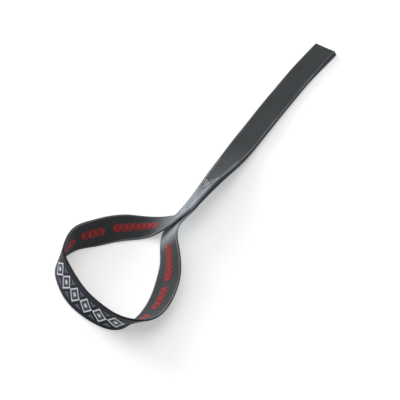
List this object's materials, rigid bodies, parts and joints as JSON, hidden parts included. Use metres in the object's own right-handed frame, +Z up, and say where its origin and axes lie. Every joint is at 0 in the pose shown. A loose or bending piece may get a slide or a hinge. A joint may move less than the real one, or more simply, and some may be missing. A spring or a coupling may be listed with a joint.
{
  "type": "weightlifting strap",
  "caption": "Flat woven webbing strap folded in half: a two-ply tail lies on the floor, and its crossed legs open into a hand loop standing on edge.",
  "frame": {"origin": "bottom centre of the strap's box, on the surface that it lies on", "axes": "+X along the tail from the hand loop to the tip, +Z up from the surface, +Y to the tail's left"},
  "size_m": [0.5168, 0.1412, 0.0302],
  "materials": {
    "webbing": "dark slate-grey woven webbing, matt, with a faint sheen along the weave"
  },
  "bodies": {
    "root": {"webbing_band": "webbing"}
  },
  "joints": []
}
